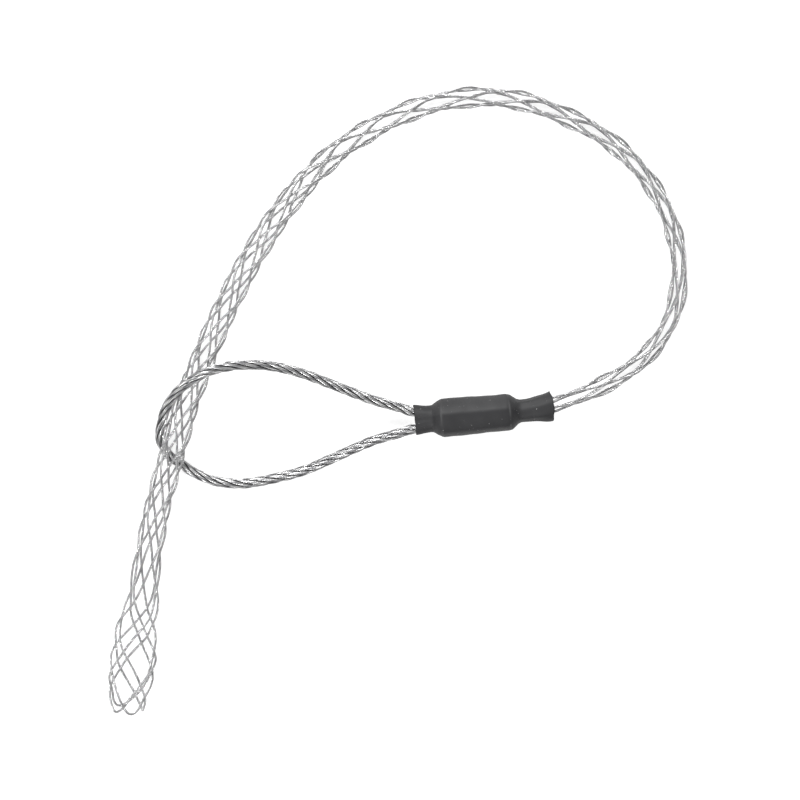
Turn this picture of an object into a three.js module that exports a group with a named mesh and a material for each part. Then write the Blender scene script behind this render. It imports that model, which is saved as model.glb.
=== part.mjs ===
// A cable pulling grip: a woven wire mesh sleeve that tightens on a cable end, with a wire rope eye to pull it by.
// Millimetres, +Z up. The grip lies curled on the floor, its mesh tail through its own eye.
// Four wires make the mesh. Each is folded once at the open tail, so eight legs run up the tube,
// four winding right and four winding left, over and under each other, into an aluminium ferrule.
// The eye's wire rope comes into the ferrule from the other end, and heat-shrink tube covers the joint.

import * as THREE from "three";

// The mesh wires.
const wireDiameter = 1.0;
const wireGap = 0.24; // between the two wires of a crossing
const wireCount = 4;
const foldRadius = 2.5; // of a wire's bend at the open tail
const bendShares = [1, 0.7, 0.35]; // where the sections of that bend lie, from its start to its middle
const legEndGap = 1; // between the last section of a leg and its bend
const wireSides = 5;

// The eye's wire rope: six strands round a core.
const strandCount = 6;
const strandDiameter = 1.1;
const strandPitchRadius = 1.45; // of the strands' centres round the rope's centre
const coreDiameter = 1.3;
const ropeLay = 35; // length of one turn of a strand
const stepsPerLay = 8;
const strandSides = 5;
const coreSides = 8;
const coreStep = 5;

// The pressed ferrule.
const ferruleLength = 27;
const ferruleDiameter = 12.6;
const ferruleBevel = 1.2;
const boreClearance = 0.3;
const legSpacing = 4.3; // between the centres of the two rope legs in the ferrule
const rowSpacing = 1.2; // between the centres of neighbouring wires in a row
const rowClearance = 0.1; // between the rope and the rows of wires on it
const endInset = 1; // of the rope's and the wires' cut ends from the ferrule's end faces
const spreadShares = [0.3, 0.6]; // of the way from the ferrule to the mesh's mouth, sections of a wire

// The heat-shrink tube over it: half widths and half heights of its outside.
const sleeveLength = 55.6;
const sleeveWall = 0.5;
const sleeveClearance = 0.5;
const ferruleFromMouth = 11; // from the tube's mouth at the eye to the ferrule
const eyeMouth = [6.15, 3.9];
const waist = [5.35, 4.3];
const neck = [4.4, 4.4];
const meshMouth = [5.65, 5.55];
const shoulderStart = 6.6;
const shoulderLength = 4;
const neckFromFerrule = 4.2;
const sleeveSides = 32;

const ropeRadius = strandPitchRadius + strandDiameter / 2;
const bodyRadius = ferruleDiameter / 2 + sleeveClearance + sleeveWall;
const boreRadius = legSpacing / 2 + ropeRadius + boreClearance;
const weave = (wireDiameter + wireGap) / 2; // how far a wire at a crossing lies from the mesh's mean radius
const crossingAngle = Math.PI / wireCount; // between one ring of crossings and the next

// The route of the grip's axis from the tube's mouth at the eye to the open tail: x, y and height.
const axisPoints = [
  [6, -8, 7.3],
  [16.4, -7.2, 7.3],
  [30.4, -6, 7.3],
  [44, -4.8, 7.3],
  [53.2, -3.7, 7.3],
  [62.6, -1.5, 7.1],
  [81.1, 5.8, 4.9],
  [97.7, 16.8, 4],
  [108.8, 32.9, 3.9],
  [112, 52.5, 3.9],
  [108.3, 72, 3.9],
  [98.7, 89.4, 4],
  [84.7, 103.4, 4.2],
  [67.5, 113.2, 4.4],
  [48.9, 119.8, 4.5],
  [29, 121.4, 4.6],
  [9.4, 117.8, 4.7],
  [-8.9, 110, 4.8],
  [-25.5, 99.3, 5],
  [-39.6, 85.4, 5.2],
  [-51.6, 69.7, 5.5],
  [-61.9, 52.8, 5.6],
  [-70.9, 34.9, 5.7],
  [-78.8, 16.6, 6.6],
  [-85.6, -2.2, 8.4],
  [-91, -21.5, 9.9],
  [-96.4, -40.7, 9.3],
  [-100.3, -60.2, 8.8],
  [-103, -79.7, 9],
  [-106.2, -99.2, 9.7],
  [-108.4, -118.9, 9.9],
  [-110, -128, 9.8],
];

// The route of the eye: out of the tube, over the mesh, round its far side, under it and back.
const eyePoints = [
  [6, -4.8, 7.3],
  [0, -3, 7.4],
  [-12, 0.4, 8],
  [-28, 6.5, 9.3],
  [-40, 10.9, 10.6],
  [-52, 13.6, 12.2],
  [-63.2, 13.9, 13.9],
  [-71.2, 12.8, 15],
  [-78, 10.6, 15.4],
  [-84.2, 7, 14.8],
  [-89.6, 2.2, 13.7],
  [-93.4, -3.5, 11.7],
  [-95.5, -9.8, 8.3],
  [-96, -16.1, 5],
  [-93, -21.9, 2.4],
  [-87.4, -26, 2.1],
  [-82.7, -29.2, 2],
  [-74, -32.6, 2],
  [-65.3, -33.6, 2],
  [-56.6, -32.7, 2.1],
  [-40, -28.8, 2.9],
  [-28, -23.8, 4.2],
  [-12, -16.8, 6.2],
  [0, -13.2, 7.1],
  [6.3, -11.3, 7.3],
];

// Outer radius of the mesh at distances from the tube's mouth.
const meshRadii = [
  [0, 4.2],
  [10, 3.7],
  [20, 4.1],
  [80, 3.9],
  [120, 3.9],
  [160, 4.3],
  [240, 4.8],
  [280, 5.2],
  [310, 5.5],
  [400, 5.7],
  [440, 5.9],
  [450, 6.3],
  [460, 7.1],
  [470, 8.8],
  [480, 9.8],
  [490, 9.8],
  [500, 8],
  [506, 7],
];

// Where the rings of crossings lie: distance from the tube's mouth and the ring's number there.
const ringPlaces = [
  [1.4, -0.5],
  [8, 0],
  [24, 1.05],
  [40, 2.5],
  [56, 3.95],
  [88, 6.25],
  [104, 7.95],
  [120, 9.4],
  [152, 12.3],
  [184, 15.3],
  [200, 16.85],
  [216, 18.05],
  [248, 21.1],
  [264, 22.85],
  [280, 24.45],
  [344, 30.6],
  [424, 38.4],
  [440, 39.8],
  [459, 40.8],
  [472, 42.2],
  [485, 43.5],
  [496, 44.5],
  [506.8, 46],
];
const foldRing = ringPlaces.at(-1)[1]; // where a wire's two legs would meet again, an even number
const ringStep = 1 / 3; // rings between two sections of a wire
const latenessPasses = 4; // that bring a shifted meeting to its place
const tailEnd = 504.1; // from the tube's mouth to the folds

// How far each wire's fold lies from its even place: degrees round the tail and distance along it.
const foldShifts = [
  [12, 0.6],
  [-19, 0.9],
  [-4, -0.6],
  [17, -0.9],
];

// How far the two legs of each fold, the right-hand and the left-hand one, lie round the tail's bulb from their
// even places, in degrees. That starts at one ring, is full at the next and then gives way to the fold's shift.
const bulbTurns = [
  [10, 5],
  [-15, -20],
  [5, 0],
  [5, 5],
];
const looseFrom = foldRing - 7;
const bulbFrom = foldRing - 4;
const bulbTo = foldRing - 2;

// How far the whole mesh is wound round at distances from the tube's mouth, in degrees.
const windings = [
  [0, 0],
  [260, -3],
  [282, 14],
  [440, 15],
  [460, 24],
  [500, 13],
];

const galvanised = new THREE.MeshStandardMaterial({ color: 0xb9bcbe, roughness: 0.38, metalness: 0.9 });
const aluminium = new THREE.MeshStandardMaterial({ color: 0xc4c6c8, roughness: 0.45, metalness: 0.9 });
const shrinkTube = new THREE.MeshStandardMaterial({ color: 0x3c3c3e, roughness: 0.6, metalness: 0 });

const Z = new THREE.Vector3(0, 0, 1);
const mix = THREE.MathUtils.lerp;
const ease = THREE.MathUtils.smoothstep;

// The value between two rows of a table [place, value], which keeps its first and last values past its ends.
function between(table, at) {
  let i = 1;
  while (i < table.length - 1 && at > table[i][0]) i += 1;
  const [a, b] = [table[i - 1], table[i]];
  const share = THREE.MathUtils.clamp((at - a[0]) / (b[0] - a[0]), 0, 1);
  return mix(a[1], b[1], share);
}

// A route through points, with its place, direction, level side and upward side at a length along it.
function route(points) {
  const curve = new THREE.CatmullRomCurve3(
    points.map((p) => new THREE.Vector3(...p)),
    false,
    "catmullrom",
    0.5,
  );
  curve.arcLengthDivisions = 40 * points.length;
  const length = curve.getLength();
  const at = (along) => {
    const share = THREE.MathUtils.clamp(along / length, 0, 1);
    const ahead = curve.getTangentAt(share);
    const place = curve.getPointAt(share).addScaledVector(ahead, along - share * length);
    const side = new THREE.Vector3().crossVectors(Z, ahead).normalize();
    const up = new THREE.Vector3().crossVectors(ahead, side);
    return { place, ahead, side, up };
  };
  return { length, at };
}

// A point beside a route, by its distances to the side and upwards.
function beside(frame, aside, above) {
  return frame.place.clone().addScaledVector(frame.side, aside).addScaledVector(frame.up, above);
}

// A closed solid from rings of points, each ring with as many points, capped at both ends.
function solidOfRings(rings) {
  const count = rings[0].length;
  const positions = [];
  const faces = [];
  rings.flat().forEach((p) => positions.push(p.x, p.y, p.z));
  for (let i = 0; i < rings.length - 1; i += 1) {
    for (let j = 0; j < count; j += 1) {
      const a = i * count + j;
      const b = i * count + ((j + 1) % count);
      faces.push(a, b, b + count, a, b + count, a + count);
    }
  }
  const last = (rings.length - 1) * count;
  for (let j = 1; j < count - 1; j += 1) {
    faces.push(0, j + 1, j);
    faces.push(last, last + j, last + j + 1);
  }
  const geometry = new THREE.BufferGeometry();
  geometry.setAttribute("position", new THREE.Float32BufferAttribute(positions, 3));
  geometry.setIndex(faces);
  geometry.computeVertexNormals();
  return geometry;
}

// A round bar along a path of { place, out }, where out points away from what the bar winds round.
function roundBar(path, diameter, sides) {
  const rings = path.map(({ place, out }, i) => {
    const before = path[Math.max(i - 1, 0)].place;
    const after = path[Math.min(i + 1, path.length - 1)].place;
    const ahead = new THREE.Vector3().subVectors(after, before).normalize();
    const first = out.clone().addScaledVector(ahead, -out.dot(ahead)).normalize();
    const second = new THREE.Vector3().crossVectors(ahead, first);
    return Array.from({ length: sides }, (_, j) => {
      const turn = (2 * Math.PI * j) / sides;
      return place
        .clone()
        .addScaledVector(first, (Math.cos(turn) * diameter) / 2)
        .addScaledVector(second, (Math.sin(turn) * diameter) / 2);
    });
  });
  return solidOfRings(rings);
}

function meshOf(name, geometry, material) {
  const mesh = new THREE.Mesh(geometry, material);
  mesh.name = name;
  return mesh;
}

const axis = route(axisPoints);
const ferruleEnd = ferruleFromMouth + ferruleLength;

// The mean radius of the mesh, from its outer radius.
function meanRadius(along) {
  return between(meshRadii, along) - wireDiameter / 2 - weave;
}

// The place of one leg of a mesh wire round the axis, at a ring number: hand is 1 for a right-hand leg.
function legAngle(hand, wire, ring, along) {
  const start = (wire + 0.5) * 2 * crossingAngle;
  return start + hand * crossingAngle * ring + THREE.MathUtils.degToRad(between(windings, along));
}

// A point of a leg. It goes over and under by its meetings with the other legs, which are one ring apart.
function legPoint(hand, wire, ring, along, extra, meeting) {
  const frame = axis.at(sleeveLength + along);
  const angle = legAngle(hand, wire, ring, along) + extra;
  const fade = Math.min(1, foldRing - meeting) * Math.min(1, 2 * (meeting - ringPlaces[0][1]));
  const radius = meanRadius(along) + hand * weave * fade * Math.cos(Math.PI * meeting);
  const out = beside(frame, Math.cos(angle), Math.sin(angle)).sub(frame.place);
  return { place: frame.place.clone().addScaledVector(out, radius), out };
}

// From the mesh's mouth back through the tube's neck to a place in one of two rows in the ferrule.
function legRoot(hand, wire) {
  const [along, ring] = ringPlaces[0];
  const angle = legAngle(hand, wire, ring, along);
  const mouth = sleeveLength + along;
  const radius = meanRadius(along);
  const legCount = 2 * wireCount;
  const slot = (Math.round(angle / crossingAngle - 0.5) + 2 * legCount) % legCount;
  const inRow = slot % wireCount;
  const upper = slot < wireCount ? 1 : -1;
  const rowAside = upper * ((wireCount - 1) / 2 - inRow) * rowSpacing;
  const rowAbove = upper * (ropeRadius + rowClearance + wireDiameter / 2);
  const onTheWay = spreadShares.map((share) => mix(ferruleEnd, mouth, share));
  const places = [ferruleFromMouth + endInset, ferruleEnd + endInset, ...onTheWay];
  return places.map((place) => {
    const share = ease(place, ferruleEnd, mouth);
    const aside = mix(rowAside, radius * Math.cos(angle), share);
    const above = mix(rowAbove, radius * Math.sin(angle), share);
    const frame = axis.at(place);
    const point = beside(frame, aside, above);
    return { place: point, out: point.clone().sub(frame.place).normalize() };
  });
}

const inTurn = (slot) => ((slot % wireCount) + wireCount) % wireCount;

// Which of the legs of one hand reaches a fold.
const wireOfFold = (hand, foldSlot) => inTurn(foldSlot - (hand * foldRing) / 2);

function foldPlace(foldSlot) {
  const [degrees, further] = foldShifts[foldSlot];
  return { foldTurn: THREE.MathUtils.degToRad(degrees), further, foldEnd: tailEnd + further };
}

const placeOfRing = (ring) => between(ringPlaces.map(([a, b]) => [b, a]), ring);

// How much of its fold's shift a leg has at a ring.
const foldShare = (ring) => ease(ring, bulbTo, foldRing);

// How far a leg lies round the tail from its even place at a ring.
function legTurn(hand, foldSlot, ring) {
  const bulbTurn = THREE.MathUtils.degToRad(bulbTurns[foldSlot][hand > 0 ? 0 : 1]);
  const { foldTurn } = foldPlace(foldSlot);
  return bulbTurn * ease(ring, looseFrom, bulbFrom) + (foldTurn - bulbTurn) * foldShare(ring);
}

// How many rings later than evenly a leg meets the others near the tail: rows of the meeting and the lateness.
function latenesses(hand, foldSlot) {
  return Array.from({ length: foldRing - looseFrom + 1 }, (_, i) => {
    const ring = looseFrom + i;
    const other = inTurn(foldSlot - hand * (foldRing - ring));
    const [right, left] = hand > 0 ? [foldSlot, other] : [other, foldSlot];
    let late = 0;
    for (let pass = 0; pass < latenessPasses; pass += 1) {
      late = (legTurn(-1, left, ring + late) - legTurn(1, right, ring + late)) / (2 * crossingAngle);
    }
    return [ring, late];
  });
}

// Half of a wire: from its end in the ferrule to the middle of its fold at the tail.
function leg(hand, foldSlot) {
  const wire = wireOfFold(hand, foldSlot);
  const path = legRoot(hand, wire);
  const startRing = ringPlaces[0][1];
  const { foldTurn, further, foldEnd } = foldPlace(foldSlot);
  const tailRadius = meanRadius(tailEnd);
  const slope = (crossingAngle * tailRadius) / (placeOfRing(foldRing) - placeOfRing(foldRing - 1));
  const bend = Math.PI / 2 - Math.atan(slope);
  const bendStart = foldEnd - foldRadius * (1 - Math.cos(bend));
  const late = latenesses(hand, foldSlot);
  path.push(legPoint(hand, wire, startRing, placeOfRing(startRing), 0, startRing));
  for (let step = Math.ceil(startRing / ringStep); step * ringStep < foldRing; step += 1) {
    const meeting = step * ringStep;
    const ring = meeting + between(late, meeting);
    const along = placeOfRing(ring) + further * foldShare(ring);
    if (along > bendStart - legEndGap) break;
    path.push(legPoint(hand, wire, ring, along, legTurn(hand, foldSlot, ring), meeting));
  }
  for (const share of bendShares) {
    const turn = share * bend;
    const bent = foldEnd - foldRadius * (1 - Math.cos(turn));
    const aside = (foldRadius * Math.sin(turn)) / tailRadius;
    path.push(legPoint(hand, wire, foldRing, bent, foldTurn - hand * aside, foldRing));
  }
  return path;
}

function meshWire(slot) {
  const { foldTurn, foldEnd } = foldPlace(slot);
  const fold = legPoint(1, wireOfFold(1, slot), foldRing, foldEnd, foldTurn, foldRing);
  return roundBar([...leg(1, slot), fold, ...leg(-1, slot).reverse()], wireDiameter, wireSides);
}

// The eye's rope, with both its ends in the ferrule.
function ropeRoute() {
  const inFerrule = [ferruleEnd - endInset, (ferruleFromMouth + ferruleEnd) / 2, ferruleFromMouth];
  const end = (upper) =>
    inFerrule.map((place) => {
      return beside(axis.at(place), (upper * legSpacing) / 2, 0).toArray();
    });
  return route([...end(1), ...eyePoints, ...end(-1).reverse()]);
}

// A path wound round the rope, counted from the rope's middle.
function helix(rope, start, radius, step) {
  const steps = Math.ceil(rope.length / step);
  return Array.from({ length: steps + 1 }, (_, i) => {
    const along = (i * rope.length) / steps;
    const angle = start + (2 * Math.PI * (along - rope.length / 2)) / ropeLay;
    const frame = rope.at(along);
    const out = beside(frame, Math.cos(angle), Math.sin(angle)).sub(frame.place);
    return { place: frame.place.clone().addScaledVector(out, radius), out };
  });
}

function eyeRope() {
  const rope = ropeRoute();
  const pieces = new THREE.Group();
  for (let i = 0; i < strandCount; i += 1) {
    const path = helix(rope, (2 * Math.PI * i) / strandCount, strandPitchRadius, ropeLay / stepsPerLay);
    const strand = roundBar(path, strandDiameter, strandSides);
    pieces.add(meshOf("eye_strand_" + (i + 1), strand, galvanised));
  }
  const core = helix(rope, 0, 0, coreStep).map(({ place }) => ({ place, out: Z }));
  pieces.add(meshOf("eye_core", roundBar(core, coreDiameter, coreSides), galvanised));
  return pieces;
}

// A thick-walled tube along the axis from sections [along, outer half width, outer half height, inner, inner].
function tubeSolid(sections, sides) {
  const ring = (along, halfWidth, halfHeight) => {
    const frame = axis.at(along);
    return Array.from({ length: sides }, (_, j) => {
      const turn = (2 * Math.PI * j) / sides;
      return beside(frame, halfWidth * Math.cos(turn), halfHeight * Math.sin(turn));
    });
  };
  const outer = sections.map(([along, w, h]) => ring(along, w, h));
  const inner = sections.map(([along, , , w, h]) => ring(along, w, h)).reverse();
  const loop = [...outer, ...inner];
  const positions = [];
  const faces = [];
  loop.flat().forEach((p) => positions.push(p.x, p.y, p.z));
  for (let i = 0; i < loop.length; i += 1) {
    const next = ((i + 1) % loop.length) * sides;
    for (let j = 0; j < sides; j += 1) {
      const a = i * sides + j;
      const b = i * sides + ((j + 1) % sides);
      const c = next + ((j + 1) % sides);
      const d = next + j;
      faces.push(a, b, c, a, c, d);
    }
  }
  const geometry = new THREE.BufferGeometry();
  geometry.setAttribute("position", new THREE.Float32BufferAttribute(positions, 3));
  geometry.setIndex(faces);
  geometry.computeVertexNormals();
  return geometry;
}

function crimpFerrule() {
  const outer = ferruleDiameter / 2;
  const rim = outer - ferruleBevel;
  const sections = [
    [ferruleFromMouth, rim, rim],
    [ferruleFromMouth + ferruleBevel, outer, outer],
    [ferruleEnd - ferruleBevel, outer, outer],
    [ferruleEnd, rim, rim],
  ];
  const bored = sections.map((s) => [...s, boreRadius, boreRadius]);
  return meshOf("crimp_ferrule", tubeSolid(bored, sleeveSides), aluminium);
}

// The tube is flat over the two rope legs, full over the ferrule, tight on the wires and flared at its mouth.
function heatShrinkSleeve() {
  const neckPlace = ferruleEnd + neckFromFerrule;
  const full = [bodyRadius, bodyRadius];
  const outline = [];
  const stretch = (from, to, start, end, steps) => {
    for (let i = 0; i < steps; i += 1) {
      const share = ease(i / steps, 0, 1);
      outline.push([mix(start, end, i / steps), mix(from[0], to[0], share), mix(from[1], to[1], share)]);
    }
  };
  stretch(eyeMouth, waist, 0, shoulderStart, 3);
  stretch(waist, full, shoulderStart, shoulderStart + shoulderLength, 4);
  stretch(full, full, shoulderStart + shoulderLength, ferruleEnd - ferruleBevel, 1);
  stretch(full, neck, ferruleEnd - ferruleBevel, neckPlace, 4);
  stretch(neck, meshMouth, neckPlace, sleeveLength, 4);
  outline.push([sleeveLength, ...meshMouth]);
  const walled = outline.map(([along, w, h]) => [along, w, h, w - sleeveWall, h - sleeveWall]);
  return meshOf("heat_shrink_sleeve", tubeSolid(walled, sleeveSides), shrinkTube);
}

const grip = new THREE.Group();
grip.add(heatShrinkSleeve(), crimpFerrule(), eyeRope());
for (let slot = 0; slot < wireCount; slot += 1) {
  grip.add(meshOf("mesh_wire_" + (slot + 1), meshWire(slot), galvanised));
}

// The origin lies under the middle of the grip, on the surface that it lies on.
const bounds = new THREE.Box3().setFromObject(grip);
const middle = bounds.getCenter(new THREE.Vector3());
grip.position.set(-middle.x, -middle.y, -bounds.min.z);

export default grip;
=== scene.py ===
"""The looks of a cable pulling grip: twisted mesh wires, a laid wire rope eye and a heat-shrunk joint.

The routes of the mesh and of the rope and the tables of the mesh repeat those of the part's source. All
shapes are written in millimetres, in the frame in which the grip was laid out, and PLACE moves them into the
part's own frame in metres.
"""

import math

import bpy
import numpy as np
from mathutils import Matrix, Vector

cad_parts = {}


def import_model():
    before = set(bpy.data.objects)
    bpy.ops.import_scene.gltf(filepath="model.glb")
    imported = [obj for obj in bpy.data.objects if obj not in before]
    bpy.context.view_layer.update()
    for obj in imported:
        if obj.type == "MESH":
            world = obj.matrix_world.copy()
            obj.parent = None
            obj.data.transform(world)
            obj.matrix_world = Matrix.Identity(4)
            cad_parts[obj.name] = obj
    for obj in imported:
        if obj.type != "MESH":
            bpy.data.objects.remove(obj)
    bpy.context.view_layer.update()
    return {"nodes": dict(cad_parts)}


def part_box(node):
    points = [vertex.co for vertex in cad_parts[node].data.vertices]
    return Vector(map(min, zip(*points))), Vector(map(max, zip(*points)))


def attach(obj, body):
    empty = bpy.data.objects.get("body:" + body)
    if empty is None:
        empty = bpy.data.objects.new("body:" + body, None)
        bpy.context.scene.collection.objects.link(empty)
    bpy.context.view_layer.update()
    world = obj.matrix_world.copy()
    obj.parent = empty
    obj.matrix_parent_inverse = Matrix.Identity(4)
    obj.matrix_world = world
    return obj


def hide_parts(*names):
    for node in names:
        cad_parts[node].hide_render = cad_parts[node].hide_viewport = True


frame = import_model()

MM = 0.001

# The mesh wires.
WIRE_DIAMETER = 1.0
WIRE_GAP = 0.24
WIRE_COUNT = 4
FOLD_RADIUS = 2.5
LEG_END_GAP = 1.0  # left free between the last section of a leg and its fold's bend
LEG_STEP = 0.4  # between two sections of a leg
ROOT_STEP = 0.5  # between two sections of a leg in the tube
BEND_SECTIONS = 11  # from where a leg's bend starts to just before the middle of its fold
SHIFT_PASSES = 3  # that bring a leg to its fold's shifted place
LATENESS_PASSES = 4  # that bring a shifted meeting to its place
ROUNDING_PASSES = 6  # over a wire's path
WIRE_FULLNESS = 1.05  # of a wire's crowns, over its plain bar in the part

# The eye's wire rope.
STRAND_COUNT = 6
ROPE_RADIUS = 2.0
ROPE_LAY = 35.0
ROPE_FULLNESS = 1.04  # of the rope's crowns, over its plain bars in the part
ROPE_PATH_POINTS = 240  # of the rope's centre line that is worked out, which nothing uses

# The ferrule and the tube over it.
FERRULE_LENGTH = 27.0
FERRULE_FROM_MOUTH = 11.0
FERRULE_END = FERRULE_FROM_MOUTH + FERRULE_LENGTH
LEG_SPACING = 4.3
ROW_SPACING = 1.2
ROW_CLEARANCE = 0.1
END_INSET = 1.0
SLEEVE_LENGTH = 55.6
SLEEVE_WALL = 0.5
BODY_RADIUS = 7.3

WEAVE = (WIRE_DIAMETER + WIRE_GAP) / 2
CROSSING_ANGLE = math.pi / WIRE_COUNT

AXIS_POINTS = [
    (6, -8, 7.3), (16.4, -7.2, 7.3), (30.4, -6, 7.3), (44, -4.8, 7.3), (53.2, -3.7, 7.3),
    (62.6, -1.5, 7.1), (81.1, 5.8, 4.9), (97.7, 16.8, 4), (108.8, 32.9, 3.9), (112, 52.5, 3.9),
    (108.3, 72, 3.9), (98.7, 89.4, 4), (84.7, 103.4, 4.2), (67.5, 113.2, 4.4), (48.9, 119.8, 4.5),
    (29, 121.4, 4.6), (9.4, 117.8, 4.7), (-8.9, 110, 4.8), (-25.5, 99.3, 5), (-39.6, 85.4, 5.2),
    (-51.6, 69.7, 5.5), (-61.9, 52.8, 5.6), (-70.9, 34.9, 5.7), (-78.8, 16.6, 6.6), (-85.6, -2.2, 8.4),
    (-91, -21.5, 9.9), (-96.4, -40.7, 9.3), (-100.3, -60.2, 8.8), (-103, -79.7, 9), (-106.2, -99.2, 9.7),
    (-108.4, -118.9, 9.9), (-110, -128, 9.8),
]

EYE_POINTS = [
    (6, -4.8, 7.3), (0, -3, 7.4), (-12, 0.4, 8), (-28, 6.5, 9.3), (-40, 10.9, 10.6),
    (-52, 13.6, 12.2), (-63.2, 13.9, 13.9), (-71.2, 12.8, 15), (-78, 10.6, 15.4), (-84.2, 7, 14.8),
    (-89.6, 2.2, 13.7), (-93.4, -3.5, 11.7), (-95.5, -9.8, 8.3), (-96, -16.1, 5), (-93, -21.9, 2.4),
    (-87.4, -26, 2.1), (-82.7, -29.2, 2), (-74, -32.6, 2), (-65.3, -33.6, 2), (-56.6, -32.7, 2.1),
    (-40, -28.8, 2.9), (-28, -23.8, 4.2), (-12, -16.8, 6.2), (0, -13.2, 7.1), (6.3, -11.3, 7.3),
]

# Outer radius of the mesh at distances from the tube's mouth.
MESH_RADII = [
    (0, 4.2), (10, 3.7), (20, 4.1), (80, 3.9), (120, 3.9), (160, 4.3), (240, 4.8),
    (280, 5.2), (310, 5.5), (400, 5.7), (440, 5.9), (450, 6.3), (460, 7.1), (470, 8.8),
    (480, 9.8), (490, 9.8), (500, 8), (506, 7),
]

# Where the rings of crossings lie: distance from the tube's mouth and the ring's number there.
RING_PLACES = [
    (1.4, -0.5), (8, 0), (24, 1.05), (40, 2.5), (56, 3.95), (88, 6.25), (104, 7.95),
    (120, 9.4), (152, 12.3), (184, 15.3), (200, 16.85), (216, 18.05), (248, 21.1), (264, 22.85),
    (280, 24.45), (344, 30.6), (424, 38.4), (440, 39.8), (459, 40.8), (472, 42.2), (485, 43.5),
    (496, 44.5), (506.8, 46),
]
FOLD_RING = RING_PLACES[-1][1]
TAIL_END = 504.1

# How far each wire's fold lies from its even place: degrees round the tail and distance along it.
FOLD_SHIFTS = [(12, 0.6), (-19, 0.9), (-4, -0.6), (17, -0.9)]

# How far the right-hand and the left-hand leg of each fold lie round the tail's bulb from their even places,
# in degrees. That starts at the first of the three rings below, is full at the second, and gives way to the
# fold's shift from the third on.
BULB_TURNS = [(10, 5), (-15, -20), (5, 0), (5, 5)]
LOOSE_FROM = FOLD_RING - 7
BULB_FROM = FOLD_RING - 4
BULB_TO = FOLD_RING - 2

# How far the whole mesh is wound round at distances from the tube's mouth, in degrees.
WINDINGS = [(0, 0), (260, -3), (282, 14), (440, 15), (460, 24), (500, 13)]

# Over how far to both sides the corners of these tables are rounded.
RING_ROUNDING = 8.0
RADIUS_ROUNDING = 4.0
WINDING_ROUNDING = 8.0


def between(table, at):
    """The value between two rows (place, value) of a table, and its first or last value past its ends."""
    places, values = np.array(table, float).T
    return np.interp(at, places, values)


def evened(table, at, reach):
    """The table's value, averaged over a reach to both sides."""
    samples = 9
    return sum(between(table, at + reach * share) for share in np.linspace(-1, 1, samples)) / samples


def ease(value, start, end):
    """0 before start, 1 after end, and a smooth step between them."""
    share = np.clip((np.asarray(value, float) - start) / (end - start), 0, 1)
    return share * share * (3 - 2 * share)


def unit(vectors):
    return vectors / np.linalg.norm(vectors, axis=-1, keepdims=True)


class Route:
    """A smooth route through points, with its place and its directions at lengths along it."""

    STEPS = 60  # between two points, to measure the length

    def __init__(self, points):
        points = np.array(points, float)
        ahead = 2 * points[0] - points[1]
        behind = 2 * points[-1] - points[-2]
        self.points = np.vstack([ahead, points, behind])
        self.spans = len(points) - 1
        self.shares = np.linspace(0, self.spans, self.spans * self.STEPS + 1)
        pieces = np.linalg.norm(np.diff(self.curve(self.shares)[0], axis=0), axis=1)
        self.lengths = np.concatenate([[0], np.cumsum(pieces)])
        self.length = self.lengths[-1]

    def curve(self, share):
        """Place and slope at a share that counts 1 for each span between two points."""
        span = np.clip(np.floor(share).astype(int), 0, self.spans - 1)
        t = (share - span)[:, None]
        a, b, c, d = (self.points[span + i] for i in range(4))
        square = 2 * a - 5 * b + 4 * c - d
        cube = 3 * b - a - 3 * c + d
        place = b + 0.5 * ((c - a) * t + square * t**2 + cube * t**3)
        slope = 0.5 * ((c - a) + 2 * square * t + 3 * cube * t**2)
        return place, slope

    def at(self, along):
        """Place, forward, level side and upward side."""
        along = np.atleast_1d(np.asarray(along, float))
        inside = np.clip(along, 0, self.length)
        place, slope = self.curve(np.interp(inside, self.lengths, self.shares))
        ahead = unit(slope)
        place = place + ahead * (along - inside)[:, None]
        side = unit(np.cross([0, 0, 1], ahead))
        return place, ahead, side, np.cross(ahead, side)

    def beside(self, along, aside, above):
        place, _, side, up = self.at(along)
        return place + side * np.reshape(aside, (-1, 1)) + up * np.reshape(above, (-1, 1))


AXIS = Route(AXIS_POINTS)


def frame_place():
    """How far the part's own frame lies from the one in which the grip was laid out."""
    low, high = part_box("crimp_ferrule")
    middle = (np.array(low) + np.array(high)) / 2 / MM
    return middle - AXIS.at(FERRULE_FROM_MOUTH + FERRULE_LENGTH / 2)[0][0]


PLACE = frame_place()


def in_frame(points):
    """Millimetres of the layout to metres of the part's frame."""
    return (np.asarray(points, float) + PLACE) * MM


def camera():
    """Straight above the grip, as the photograph was taken."""
    height, field_height, field = 1333.0, 8.0, 320.0
    data = bpy.data.cameras.new("camera")
    data.sensor_width = 36.0
    data.lens = data.sensor_width * (height - field_height) / field
    data.clip_start = 0.05
    data.clip_end = 20
    view = bpy.data.objects.new("camera", data)
    view.location = in_frame((0, 0, height))
    bpy.context.scene.collection.objects.link(view)
    bpy.context.scene.camera = view


camera()


def mesh_object(name, points, faces):
    """A mesh from points in millimetres of the layout."""
    mesh = bpy.data.meshes.new(name)
    mesh.from_pydata(in_frame(points).tolist(), [], faces)
    mesh.polygons.foreach_set("use_smooth", [True] * len(mesh.polygons))
    mesh.update()
    piece = bpy.data.objects.new(name, mesh)
    bpy.context.scene.collection.objects.link(piece)
    return piece


def skin_faces(rings, count, closed_ends=True):
    """The faces that join rings of count points each, and a fan over each end."""
    row = np.arange(rings - 1)[:, None] * count
    step = np.arange(count)[None, :]
    after = (step + 1) % count
    quads = np.stack([row + step, row + after, row + after + count, row + step + count], -1)
    faces = quads.reshape(-1, 4).tolist()
    if closed_ends:
        faces.append(list(range(count))[::-1])
        faces.append(list(range((rings - 1) * count, rings * count)))
    return faces


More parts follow.
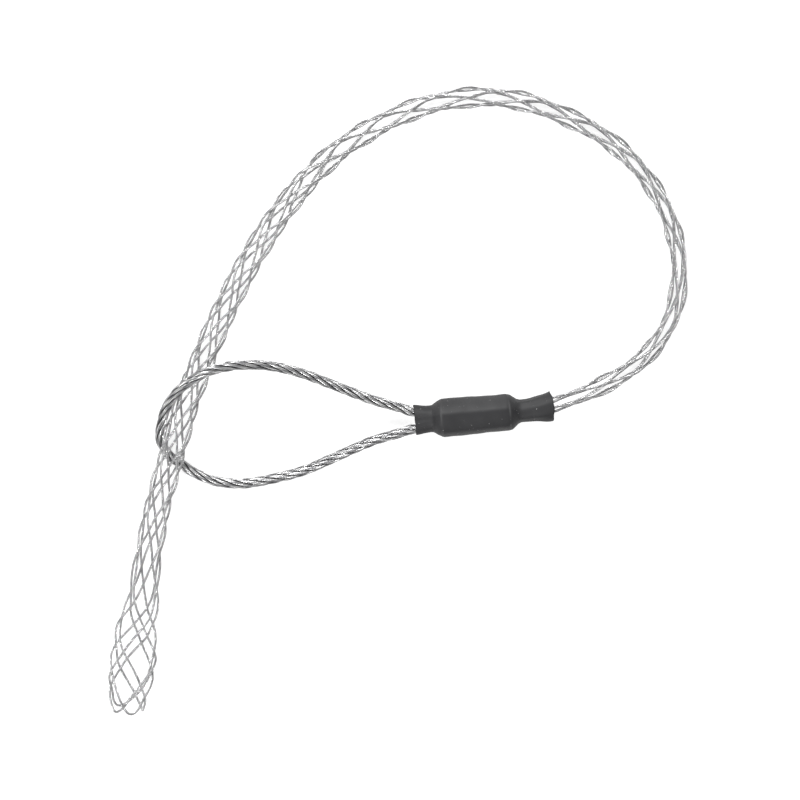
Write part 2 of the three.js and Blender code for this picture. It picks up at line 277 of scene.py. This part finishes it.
def even_path(points, step):
    """The same path with its points an even step apart."""
    pieces = np.linalg.norm(np.diff(points, axis=0), axis=1)
    along = np.concatenate([[0], np.cumsum(pieces)])
    count = max(2, int(round(along[-1] / step)) + 1)
    even = np.linspace(0, along[-1], count)
    return np.stack([np.interp(even, along, points[:, i]) for i in range(3)], -1), even


def rounded(points, passes):
    """The same path with its corners rounded, both ends kept."""
    for _ in range(passes):
        inner = 0.25 * points[:-2] + 0.5 * points[1:-1] + 0.25 * points[2:]
        points = np.vstack([points[:1], inner, points[-1:]])
    return points


def carried_frames(points):
    """Directions along a path, with two sides that turn as little as they can from point to point."""
    ahead = unit(np.gradient(points, axis=0))
    first = np.empty_like(ahead)
    start = np.cross(ahead[0], [0, 0, 1])
    first[0] = start / np.linalg.norm(start)
    for i in range(1, len(points)):
        side = first[i - 1] - ahead[i] * np.dot(first[i - 1], ahead[i])
        first[i] = side / np.linalg.norm(side)
    return ahead, first, np.cross(ahead, first)


def lobed_outline(wires, points_each):
    """Angles and radii of a strand's section of radius 1, in which wires lie side by side round a core.

    The depth is 0 on the crown of a wire and 1 where two wires meet, and it sets the painted shade between
    wires."""
    half = math.pi / wires
    wire = math.sin(half) / (1 + math.sin(half))
    pitch = 1 - wire
    turns = (np.arange(points_each) / points_each - 0.5) * 2 * half
    radii = pitch * np.cos(turns) + np.sqrt(np.maximum(wire**2 - (pitch * np.sin(turns)) ** 2, 0))
    depth = np.abs(turns) / half
    angles = np.concatenate([turns + 2 * half * i for i in range(wires)])
    return angles, np.tile(radii, wires), np.tile(depth, wires)


def strand_skin(path, radius, wires, lay, points_each, centre=None, start=0.0):
    """Points, faces and painted numbers of a strand twisted from wires.

    Painted are the depth between two wires and how far a point faces the centre line that the strand is laid
    round, which set painted shade between wires and between strands, and each wire's tone, which sets
    painted glints where it is high."""
    tone_of_wire, tone_of_start, tone_of_length = 2.4, 3, 0.3
    points, along = path
    _, first, second = carried_frames(points)
    angles, radii, depth = lobed_outline(wires, points_each)
    turned = angles[None, :] + start + 2 * math.pi * along[:, None] / lay
    across = (np.cos(turned) * radii)[..., None] * first[:, None, :]
    over = (np.sin(turned) * radii)[..., None] * second[:, None, :]
    skin = points[:, None, :] + radius * (across + over)
    wire = np.repeat(np.arange(wires), points_each)
    # Each wire's tone, which changes from wire to wire and along the length; where it is high it paints a
    # glint.
    wave = tone_of_wire * wire[None, :] + tone_of_start * start + tone_of_length * along[:, None]
    tone_and_glint = 0.5 + 0.5 * np.sin(wave)
    # How far a point faces the rope's centre, which sets the painted shade between strands.
    inward_shade = np.zeros_like(tone_and_glint)
    if centre is not None:
        inward_shade = 0.5 - 0.5 * np.sum(unit(across + over) * unit(points - centre)[:, None, :], -1)
    paints = {"groove_shade": np.tile(depth, len(points)), "tone_and_glint": tone_and_glint.ravel(), "inward_shade": inward_shade.ravel()}
    return skin.reshape(-1, 3), skin_faces(len(points), len(angles)), paints


def paint(piece, paints):
    """Keeps numbers for each point of a piece, for its material."""
    for name, values in paints.items():
        attribute = piece.data.attributes.new(name, "FLOAT", "POINT")
        attribute.data.foreach_set("value", np.asarray(values, np.float32))


# Mesh wires.


def smooth_ring(along):
    """The ring number, with the table's corners rounded and both its ends kept."""
    to_ends = np.minimum(along - RING_PLACES[0][0], RING_PLACES[-1][0] - along)
    return evened(RING_PLACES, along, np.clip(to_ends, 0, RING_ROUNDING))


def place_of_ring(ring):
    return between([(b, a) for a, b in RING_PLACES], ring)


def mean_radius(along):
    return evened(MESH_RADII, along, RADIUS_ROUNDING) - WIRE_DIAMETER / 2 - WEAVE


def leg_angle(hand, wire, ring, along):
    start = (wire + 0.5) * 2 * CROSSING_ANGLE
    return start + hand * CROSSING_ANGLE * ring + np.radians(evened(WINDINGS, along, WINDING_ROUNDING))


def leg_points(hand, wire, ring, along, extra, meeting):
    """Points of a leg: hand is 1 for one that winds to the right and -1 for the left.

    It goes over and under by its meetings with the other legs, which are one ring apart."""
    angle = leg_angle(hand, wire, ring, along) + extra
    fade = np.minimum(1, FOLD_RING - meeting) * np.minimum(1, 2 * (meeting - RING_PLACES[0][1]))
    radius = mean_radius(along) + hand * WEAVE * fade * np.cos(math.pi * meeting)
    return AXIS.beside(SLEEVE_LENGTH + along, np.cos(angle) * radius, np.sin(angle) * radius)


def leg_root(hand, wire):
    """From a place in one of two rows in the ferrule to the mesh's mouth."""
    along, ring = RING_PLACES[0]
    angle = float(leg_angle(hand, wire, ring, along))
    mouth = SLEEVE_LENGTH + along
    radius = float(mean_radius(along))
    leg_count = 2 * WIRE_COUNT
    slot = int(round(angle / CROSSING_ANGLE - 0.5)) % leg_count
    upper = 1 if slot < WIRE_COUNT else -1
    row_aside = upper * ((WIRE_COUNT - 1) / 2 - slot % WIRE_COUNT) * ROW_SPACING
    row_above = upper * (ROPE_RADIUS + ROW_CLEARANCE + WIRE_DIAMETER / 2)
    places = np.arange(FERRULE_FROM_MOUTH + END_INSET, mouth - LEG_STEP, ROOT_STEP)
    share = ease(places, FERRULE_END, mouth)
    aside = row_aside + (radius * math.cos(angle) - row_aside) * share
    above = row_above + (radius * math.sin(angle) - row_above) * share
    return AXIS.beside(places, aside, above)


def fold_share(ring):
    """How much of its fold's shift a leg has at a ring."""
    return ease(ring, BULB_TO, FOLD_RING)


def leg_turn(hand, fold_slot, ring):
    """How far a leg lies round the tail from its even place at a ring."""
    bulb_turn = math.radians(BULB_TURNS[fold_slot][0 if hand > 0 else 1])
    fold_turn = math.radians(FOLD_SHIFTS[fold_slot][0])
    return bulb_turn * ease(ring, LOOSE_FROM, BULB_FROM) + (fold_turn - bulb_turn) * fold_share(ring)


def latenesses(hand, fold_slot):
    """Rows of a leg's meetings near the tail and of how many rings later than evenly each of them comes."""
    rows = []
    for ring in range(LOOSE_FROM, FOLD_RING + 1):
        other = (fold_slot - hand * (FOLD_RING - ring)) % WIRE_COUNT
        right, left = (fold_slot, other) if hand > 0 else (other, fold_slot)
        late = 0.0
        for _ in range(LATENESS_PASSES):
            apart = leg_turn(-1, left, ring + late) - leg_turn(1, right, ring + late)
            late = float(apart) / (2 * CROSSING_ANGLE)
        rows.append((ring, late))
    return rows


def leg(hand, fold_slot):
    """Half of a wire: from its end in the ferrule to the last point before the middle of its fold."""
    wire = int(fold_slot - hand * FOLD_RING / 2) % WIRE_COUNT
    degrees, further = FOLD_SHIFTS[fold_slot]
    fold_end = TAIL_END + further
    tail_radius = float(mean_radius(TAIL_END))
    last_step = float(place_of_ring(FOLD_RING) - place_of_ring(FOLD_RING - 1))
    bend = math.pi / 2 - math.atan(CROSSING_ANGLE * tail_radius / last_step)
    bend_start = fold_end - FOLD_RADIUS * (1 - math.cos(bend))
    along = np.arange(RING_PLACES[0][0], bend_start - LEG_END_GAP, LEG_STEP)
    ring = smooth_ring(along)
    for _ in range(SHIFT_PASSES):
        ring = smooth_ring(along - further * fold_share(ring))
    late = latenesses(hand, fold_slot)
    meeting = ring - between([(met + later, later) for met, later in late], ring)
    fold_turn = math.radians(degrees)
    run = leg_points(hand, wire, ring, along, leg_turn(hand, fold_slot, ring), meeting)
    turn = np.linspace(1, 0, BEND_SECTIONS + 1)[:-1] * bend
    bent = fold_end - FOLD_RADIUS * (1 - np.cos(turn))
    aside = FOLD_RADIUS * np.sin(turn) / tail_radius
    last = np.full(len(turn), FOLD_RING)
    arc = leg_points(hand, wire, last, bent, fold_turn - hand * aside, last)
    return np.vstack([leg_root(hand, wire), run, arc])


def mesh_wire(slot):
    """One wire of the mesh, twisted from six fine wires round a seventh."""
    wires, lay, points_each, step = 6, 6.5, 4, 0.45
    degrees, further = FOLD_SHIFTS[slot]
    wire = int(slot - FOLD_RING / 2) % WIRE_COUNT
    last = np.array([FOLD_RING])
    fold = leg_points(1, wire, last, np.array([TAIL_END + further]), math.radians(degrees), last)
    points = np.vstack([leg(1, slot), fold, leg(-1, slot)[::-1]])
    even, _ = even_path(points, LEG_STEP)
    path = even_path(rounded(even, ROUNDING_PASSES), step)
    crown_radius = WIRE_FULLNESS * WIRE_DIAMETER / 2
    skin, faces, paints = strand_skin(path, crown_radius, wires, lay, points_each, start=slot)
    piece = mesh_object(f"twisted_wire_{slot + 1}", skin, faces)
    paint(piece, paints)
    return piece


# The eye's rope.


def rope_route():
    """The rope's centre: out of the ferrule, round the eye and back into it."""
    in_ferrule = [FERRULE_END - END_INSET, (FERRULE_FROM_MOUTH + FERRULE_END) / 2, FERRULE_FROM_MOUTH]
    upper = [AXIS.beside(place, LEG_SPACING / 2, 0)[0] for place in in_ferrule]
    lower = [AXIS.beside(place, -LEG_SPACING / 2, 0)[0] for place in in_ferrule]
    return Route([*upper, *EYE_POINTS, *lower[::-1]])


def rope_strand(rope, start):
    """One strand of the rope, six wires round a seventh, in a helix round the rope's centre."""
    wires, lay, points_each, step = 6, -26.0, 5, 0.65
    crown_radius = ROPE_FULLNESS * ROPE_RADIUS
    strand_radius = crown_radius / (1 + 1 / math.sin(math.pi / STRAND_COUNT))
    pitch_radius = crown_radius - strand_radius
    along = np.linspace(0, rope.length, int(rope.length / step))
    turn = start + 2 * math.pi * (along - rope.length / 2) / ROPE_LAY
    points = rope.beside(along, np.cos(turn) * pitch_radius, np.sin(turn) * pitch_radius)
    centre = rope.at(along)[0]
    return strand_skin((points, along), strand_radius, wires, lay, points_each, centre, start)


def rope_core(rope):
    """The rope's core strand, which hardly shows, as a plain round bar painted wholly in the painted shade
    colour of the grooves.
    """
    core_radius, sides, step = 0.8, 8, 2.0
    along = np.linspace(0, rope.length, int(rope.length / step))
    angles = np.arange(sides) * 2 * math.pi / sides
    rings = [rope.beside(along, core_radius * math.cos(a), core_radius * math.sin(a)) for a in angles]
    points = np.stack(rings, 1).reshape(-1, 3)
    all_in_shade = {name: np.ones(len(points)) for name in ("groove_shade", "tone_and_glint", "inward_shade")}
    return points, skin_faces(len(along), sides), all_in_shade


def joined(skins):
    """One list of points, faces and painted numbers from several."""
    points, faces = [], []
    count = 0
    for skin, skin_face, _ in skins:
        points.append(skin)
        faces.extend([[i + count for i in face] for face in skin_face])
        count += len(skin)
    paints = {name: np.concatenate([skin[2][name] for skin in skins]) for name in skins[0][2]}
    return np.vstack(points), faces, paints


def eye_rope():
    """The whole rope as one piece; its centre line is also worked out, but nothing uses it."""
    rope = rope_route()
    skins = [rope_strand(rope, 2 * math.pi * i / STRAND_COUNT) for i in range(STRAND_COUNT)]
    points, faces, paints = joined([*skins, rope_core(rope)])
    piece = mesh_object("eye_rope", points, faces)
    paint(piece, paints)
    centre = in_frame(rope.at(np.linspace(0, rope.length, ROPE_PATH_POINTS))[0])
    return piece


# The heat-shrink tube.

# Each row of its outline: distance from its mouth at the eye, half width and half height.
TUBE_OUTLINE = [
    (0, 6.15, 3.9), (1.2, 6.0, 3.95), (3.5, 5.55, 4.15), (6.0, 5.35, 4.3), (7.0, 5.45, 4.45),
    (8.1, 6.1, 5.6), (9.5, 7.0, 6.95), (10.8, BODY_RADIUS, BODY_RADIUS), (36.8, BODY_RADIUS, BODY_RADIUS),
    (38.5, 7.0, 7.0), (40.0, 5.9, 5.9), (41.3, 4.85, 4.85), (42.6, 4.45, 4.4), (46, 4.6, 4.55),
    (51, 5.2, 5.1), (SLEEVE_LENGTH, 5.65, 5.55),
]

# Where its forms come in or fade out, in distances from that mouth.
BODY_IN = (9.5, 11.5)
BODY_OUT = (36.4, 38.4)
# Where the painted side light fades out along the tube.
SIDE_LIGHT_OUT = (36, 39)
WAIST_OUT = (5.5, 9)
NECK_IN = (39.5, 42)
NECK_OUT = (50, 55)
LOWER_LIP_IN = (44, SLEEVE_LENGTH)
LOOSE_END_OUT = (12, 32)
EYE_CUT_OUT = (0, 5)
MESH_CUT_IN = (SLEEVE_LENGTH - 6, SLEEVE_LENGTH)
LEFT_CREASE = 10.3
RIGHT_CREASE = 38.2
CREASE_WIDTH = 0.28

# Where some of them lie round the tube, as cosines.
# Where the painted side light comes in round the tube.
SIDE_LIGHT_IN = (0.1, 0.3)
PINCH_WIDTH = 0.28

# How far they stand out.
FACET_SHARE = 0.42  # of a hexagon's full ridges
PINCH_DEPTH = 0.55
WIRE_MARKS = 0.10
LOWER_LIP = 0.6
LOOSE_END = 0.4
CREASE_HEIGHT = 0.06


def smooth_table(places, values, at):
    """A smooth curve through a table's rows, without overshoot."""
    steps = np.diff(places)
    slopes = np.diff(values) / steps
    tangents = np.zeros(len(places))
    same = slopes[:-1] * slopes[1:] > 0
    with np.errstate(divide="ignore", invalid="ignore"):
        mean = 2 * slopes[:-1] * slopes[1:] / (slopes[:-1] + slopes[1:])
    tangents[1:-1] = np.where(same, mean, 0)
    tangents[0], tangents[-1] = slopes[0], slopes[-1]
    i = np.clip(np.searchsorted(places, at, "right") - 1, 0, len(steps) - 1)
    t = (at - places[i]) / steps[i]
    low = values[i] * (1 + 2 * t) * (1 - t) ** 2 + tangents[i] * steps[i] * t * (1 - t) ** 2
    high = values[i + 1] * t**2 * (3 - 2 * t) - tangents[i + 1] * steps[i] * t**2 * (1 - t)
    return low + high


def sleeve():
    """The shrunk tube: its wall, its cut mouths and the forms of what it is shrunk on."""
    sides, step = 128, 0.4
    along = np.linspace(0, SLEEVE_LENGTH, int(SLEEVE_LENGTH / step) + 1)
    places, widths, heights = np.array(TUBE_OUTLINE, float).T
    half_width = smooth_table(places, widths, along)
    half_height = smooth_table(places, heights, along)
    turn = np.arange(sides) * 2 * math.pi / sides
    s, a = np.meshgrid(along, turn, indexing="ij")
    swell = sleeve_swell(s, a)
    run = s + mouth_cut(s, a)

    def surface(inset):
        across = (half_width[:, None] + swell - inset) * np.cos(a)
        above = (half_height[:, None] + swell - inset) * np.sin(a)
        return AXIS.beside(run.ravel(), across.ravel(), above.ravel()).reshape(len(along), sides, 3)

    outer = surface(0)
    outer[..., 2] = np.maximum(outer[..., 2], -PLACE[2])  # it rests flat on the floor
    rings = np.vstack([outer, surface(SLEEVE_WALL)[::-1]])
    faces = skin_faces(len(rings), sides, closed_ends=False)
    last = (len(rings) - 1) * sides
    faces += [[last + j, last + (j + 1) % sides, (j + 1) % sides, j] for j in range(sides)]
    piece = mesh_object("shrunk_tube", rings.reshape(-1, 3), faces)
    # Painted glint along the shoulder creases.
    crease_glint = np.clip(shoulder_crease(s, a), 0, 1)
    # Painted light on the tube's side towards the key lamp, fuller along the body.
    side_light_along = ease(s, *BODY_IN) * (1 - ease(s, *SIDE_LIGHT_OUT))
    side_light_round = ease(np.cos(a), *SIDE_LIGHT_IN)
    for name, values in (("crease_glint", crease_glint), ("side_light", side_light_round * (0.4 + 0.6 * side_light_along))):
        paint(piece, {name: np.vstack([values, np.zeros_like(values)]).ravel()})
    return piece


def pressed_hexagon(a):
    """How far a hexagon of radius 1 stands out from the circle in it, with soft ridges."""
    ridge, side = math.radians(78), math.pi / 3
    softness, samples = 7, 7
    soft = np.radians(np.linspace(-softness, softness, samples))
    facets = [1 / np.cos(np.mod(a - ridge + shift, side) - side / 2) for shift in soft]
    return (np.mean(facets, axis=0) - 1) * math.cos(side / 2)


def shoulder_crease(s, a):
    """1 on the edges of the ferrule, where the tube is drawn tight over them."""
    wave = 0.35 * np.sin(a) + 0.15 * np.sin(3 * a)
    left = np.exp(-(((s - LEFT_CREASE - wave) / CREASE_WIDTH) ** 2))
    right = np.exp(-(((s - RIGHT_CREASE + wave) / CREASE_WIDTH) ** 2))
    return (left + right) * (0.55 + 0.45 * np.cos(4 * a + 1))


def sleeve_swell(s, a):
    """How far the tube's outside stands out from its plain outline, in millimetres."""
    body = ease(s, *BODY_IN) * (1 - ease(s, *BODY_OUT))
    facets = BODY_RADIUS * FACET_SHARE * pressed_hexagon(a) * body
    waist = 1 - ease(s, *WAIST_OUT)
    pinch = -PINCH_DEPTH * waist * np.exp(-((np.cos(a) / PINCH_WIDTH) ** 2))
    neck = ease(s, *NECK_IN) * (1 - ease(s, *NECK_OUT))
    over_wires = WIRE_MARKS * neck * np.cos(2 * WIRE_COUNT * a + 0.12 * (s - NECK_IN[1]))
    slow = 0.05 * np.sin(0.35 * s + 2 * a) + 0.04 * np.sin(0.9 * s - 3 * a + 1)
    lower_lip = LOWER_LIP * ease(s, *LOWER_LIP_IN) * np.clip(-np.cos(a), 0, 1) ** 2
    loose_end = LOOSE_END * body * (1 - ease(s, *LOOSE_END_OUT)) * np.cos(a) ** 2
    creases = CREASE_HEIGHT * shoulder_crease(s, a)
    return facets + pinch + over_wires + slow + lower_lip + loose_end + creases


def mouth_cut(s, a):
    """How the two cut mouths lean and wave."""
    aside = np.cos(a)
    eye_lean = 0.1 * np.clip(-aside, 0, 1) - 0.3 * np.clip(aside, 0, 1) ** 3
    eye_cut = eye_lean + 0.12 * np.sin(5 * a)
    mesh_lean = 0.9 * aside + 0.6 * (1 - aside**2) - 0.7
    mesh_cut = mesh_lean + 0.1 * np.sin(7 * a + 1)
    return (1 - ease(s, *EYE_CUT_OUT)) * eye_cut + ease(s, *MESH_CUT_IN) * mesh_cut


# Materials. Colours are given as red, green and blue; most are the surfaces' own, but the wires' brightest
# colours are painted glints, their darkest painted shade, and the tube's crease and side colours painted
# light.

MESH_ZINC = {
    # Near-white painted glint colour for wires of high tone.
    "bright": (0.97, 0.97, 0.97),
    "dull": (0.42, 0.42, 0.43),
    # Painted shade colour for the grooves between wires and strands.
    "groove_shade": (0.04, 0.04, 0.042),
    "roughness": (0.36, 0.22),
}
ROPE_ZINC = {
    # Near-white painted glint colour for wires of high tone.
    "bright": (0.95, 0.95, 0.95),
    "dull": (0.27, 0.27, 0.28),
    # Painted shade colour for the grooves between wires and strands.
    "groove_shade": (0.02, 0.02, 0.021),
    "roughness": (0.36, 0.24),
}
TUBE_BLACK = ((0.028, 0.028, 0.03), (0.036, 0.036, 0.038))
# Painted light: a lighter black for the side towards the key lamp.
TUBE_SIDE_LIT = ((0.05, 0.05, 0.052), (0.064, 0.064, 0.066))
# Painted glint colour for the shoulder creases.
TUBE_CREASE_GLINT = (0.085, 0.085, 0.087)
TUBE_SPECK = (0.4, 0.4, 0.4)
PRESSED_ALUMINIUM = ((0.62, 0.63, 0.64), (0.74, 0.75, 0.76))

# Most values of a noise lie in this range.
NOISE_RANGE = (0.35, 0.65)

# How fine each noise is.
ZINC_PATCHES = 260.0
TUBE_CLOUD = 60.0
TUBE_SPECKS = 1500.0
TUBE_GRAIN = 700.0
DRAWING_MARKS = 500.0


def new_material(name):
    material = bpy.data.materials.new(name)
    material.use_nodes = True
    nodes = material.node_tree.nodes
    return material, nodes, material.node_tree.links, nodes["Principled BSDF"]


def mapped(nodes, links, value, low, high, to_low, to_high):
    """A number from one range carried over to another."""
    node = nodes.new("ShaderNodeMapRange")
    for socket, number in zip(node.inputs[1:5], (low, high, to_low, to_high)):
        socket.default_value = number
    links.new(value, node.inputs[0])
    return node.outputs[0]


def mixed(nodes, links, share, first, second):
    """A colour between two, by a share."""
    node = nodes.new("ShaderNodeMix")
    node.data_type = "RGBA"
    first_colour, second_colour = node.inputs[6], node.inputs[7]
    for socket, value in ((first_colour, first), (second_colour, second)):
        if isinstance(value, tuple):
            socket.default_value = (*value, 1)
        else:
            links.new(value, socket)
    links.new(share, node.inputs[0])
    return node.outputs[2]


def noise(nodes, links, scale, detail=3.0):
    node = nodes.new("ShaderNodeTexNoise")
    node.inputs["Scale"].default_value = scale
    node.inputs["Detail"].default_value = detail
    place = nodes.new("ShaderNodeTexCoord")
    links.new(place.outputs["Object"], node.inputs["Vector"])
    return node.outputs["Fac"]


def painted(nodes, name):
    node = nodes.new("ShaderNodeAttribute")
    node.attribute_name = name
    return node.outputs["Fac"]


def reckoned(nodes, links, operation, first, second):
    """One number from two, kept between 0 and 1."""
    node = nodes.new("ShaderNodeMath")
    node.operation = operation
    node.use_clamp = True
    links.new(first, node.inputs[0])
    links.new(second, node.inputs[1])
    return node.outputs[0]


def wire_material(name, bright, dull, groove_shade, roughness):
    """Galvanised wires whose tone varies from wire to wire, with painted glints where the tone is high and
    painted shade in the grooves between wires and between strands.
    """
    patchiness = 0.3
    wires_from, wires_to, wire_shade_full = 0.35, 0.95, 0.95
    strands_from, strands_to = 0.2, 0.5
    material, nodes, links, shader = new_material(name)
    cloud = noise(nodes, links, ZINC_PATCHES)
    patches = mapped(nodes, links, cloud, *NOISE_RANGE, -patchiness, patchiness)
    # The wires' tone with zinc patches; its high end is a painted glint, its low end the dull zinc.
    tone_and_glint = reckoned(nodes, links, "ADD", painted(nodes, "tone_and_glint"), patches)
    skin = mixed(nodes, links, tone_and_glint, dull, bright)
    # Painted shade: darkest where two wires meet and on the sides of a strand that face the rope's centre.
    painted_wire_shade = mapped(nodes, links, painted(nodes, "groove_shade"), wires_from, wires_to, 0.0, wire_shade_full)
    painted_strand_shade = mapped(nodes, links, painted(nodes, "inward_shade"), strands_from, strands_to, 0.0, 1.0)
    painted_shade = reckoned(nodes, links, "MAXIMUM", painted_wire_shade, painted_strand_shade)
    links.new(mixed(nodes, links, painted_shade, skin, groove_shade), shader.inputs["Base Color"])
    shader.inputs["Metallic"].default_value = 0.85
    links.new(mapped(nodes, links, tone_and_glint, 0.0, 1.0, *roughness), shader.inputs["Roughness"])
    return material


def tube_material():
    """Heat-shrink tube: matt black plastic with painted light on the side towards the key lamp and painted
    glints on the shoulder creases, with fine specks and scuffs.
    """
    material, nodes, links, shader = new_material("heat_shrink")
    cloud = mapped(nodes, links, noise(nodes, links, TUBE_CLOUD), *NOISE_RANGE, 0.0, 1.0)
    skin = mixed(nodes, links, cloud, *TUBE_BLACK)
    # Painted light on the side towards the key lamp.
    side_lit = mixed(nodes, links, cloud, *TUBE_SIDE_LIT)
    with_side_light = mixed(nodes, links, painted(nodes, "side_light"), skin, side_lit)
    # Painted glint on the shoulder creases.
    with_crease_glint = mixed(nodes, links, painted(nodes, "crease_glint"), with_side_light, TUBE_CREASE_GLINT)
    specks = mapped(nodes, links, noise(nodes, links, TUBE_SPECKS, 1.0), 0.76, 0.79, 0.0, 1.0)
    links.new(mixed(nodes, links, specks, with_crease_glint, TUBE_SPECK), shader.inputs["Base Color"])
    shader.inputs["Roughness"].default_value = 0.55
    shader.inputs["Specular IOR Level"].default_value = 0.25
    bump = nodes.new("ShaderNodeBump")
    bump.inputs["Strength"].default_value = 0.25
    bump.inputs["Distance"].default_value = 0.0002
    links.new(noise(nodes, links, TUBE_GRAIN, 4.0), bump.inputs["Height"])
    links.new(bump.outputs["Normal"], shader.inputs["Normal"])
    return material


def ferrule_material():
    """Pressed aluminium with faint drawing marks."""
    material, nodes, links, shader = new_material("pressed_aluminium")
    marks = mapped(nodes, links, noise(nodes, links, DRAWING_MARKS), 0.3, 0.7, 0.0, 1.0)
    links.new(mixed(nodes, links, marks, *PRESSED_ALUMINIUM), shader.inputs["Base Color"])
    shader.inputs["Metallic"].default_value = 1.0
    shader.inputs["Roughness"].default_value = 0.42
    return material


def wear(piece, material):
    piece.data.materials.clear()
    piece.data.materials.append(material)


# The pieces.

mesh_wires = [mesh_wire(slot) for slot in range(WIRE_COUNT)]
mesh_finish = wire_material("mesh_wire_zinc", **MESH_ZINC)
for number, piece in enumerate(mesh_wires, 1):
    wear(piece, mesh_finish)
    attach(piece, "root")
    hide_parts(f"mesh_wire_{number}")

rope_piece = eye_rope()
rope_finish = wire_material("eye_rope_zinc", **ROPE_ZINC)
wear(rope_piece, rope_finish)
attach(rope_piece, "root")
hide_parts("eye_core", *[f"eye_strand_{i + 1}" for i in range(STRAND_COUNT)])

tube = sleeve()
wear(tube, tube_material())
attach(tube, "root")
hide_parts("heat_shrink_sleeve")

wear(frame["nodes"]["crimp_ferrule"], ferrule_material())


# Floor, world and lamps.


def sees_background(nodes, links):
    """1 for the camera's own rays and for those that a gloss or a clear body sends, 0 for light."""
    path = nodes.new("ShaderNodeLightPath")
    total = path.outputs["Is Camera Ray"]
    for name in ("Is Glossy Ray", "Is Transmission Ray"):
        total = reckoned(nodes, links, "MAXIMUM", total, path.outputs[name])
    return total


def floor():
    """A plain surface that takes the shadow and shows pale."""
    size, albedo, glow = 3.0, 0.5, 0.75
    mesh = bpy.data.meshes.new("floor")
    corners = [(-size, -size, 0), (size, -size, 0), (size, size, 0), (-size, size, 0)]
    mesh.from_pydata(corners, [], [(0, 1, 2, 3)])
    piece = bpy.data.objects.new("floor", mesh)
    bpy.context.scene.collection.objects.link(piece)
    material = bpy.data.materials.new("floor")
    material.use_nodes = True
    nodes, links = material.node_tree.nodes, material.node_tree.links
    nodes.clear()
    diffuse = nodes.new("ShaderNodeBsdfDiffuse")
    diffuse.inputs["Color"].default_value = (albedo, albedo, albedo, 1)
    light = nodes.new("ShaderNodeEmission")
    light.inputs["Color"].default_value = (1, 1, 1, 1)
    strength = mapped(nodes, links, sees_background(nodes, links), 0.0, 1.0, 0.0, glow)
    links.new(strength, light.inputs["Strength"])
    add = nodes.new("ShaderNodeAddShader")
    links.new(diffuse.outputs[0], add.inputs[0])
    links.new(light.outputs[0], add.inputs[1])
    out = nodes.new("ShaderNodeOutputMaterial")
    links.new(add.outputs[0], out.inputs["Surface"])
    piece.data.materials.append(material)


def world():
    """Even light from all round, stronger from above."""
    low, high = 0.1, 0.9  # upward parts of a ray's direction
    dim, bright = 0.16, 0.7
    base = bpy.data.worlds.new("studio")
    bpy.context.scene.world = base
    base.use_nodes = True
    nodes, links = base.node_tree.nodes, base.node_tree.links
    place = nodes.new("ShaderNodeTexCoord")
    split = nodes.new("ShaderNodeSeparateXYZ")
    links.new(place.outputs["Generated"], split.inputs[0])
    back = nodes["Background"]
    back.inputs["Color"].default_value = (1, 1, 1, 1)
    strength = mapped(nodes, links, split.outputs[2], low, high, dim, bright)
    links.new(strength, back.inputs["Strength"])


def lamp(name, place, size, power):
    """A square lamp that faces the grip."""
    data = bpy.data.lights.new(name, "AREA")
    data.shape = "SQUARE"
    data.size = size
    data.energy = power
    light = bpy.data.objects.new(name, data)
    light.location = place
    light.rotation_euler = Vector(place).to_track_quat("Z", "Y").to_euler()
    bpy.context.scene.collection.objects.link(light)


floor()
world()
lamp("key_lamp", place=(-0.4, 1.2, 1.3), size=0.6, power=22)
lamp("fill_lamp", place=(-0.6, -1.0, 1.2), size=0.35, power=10)
bpy.context.scene.view_settings.view_transform = "Standard"
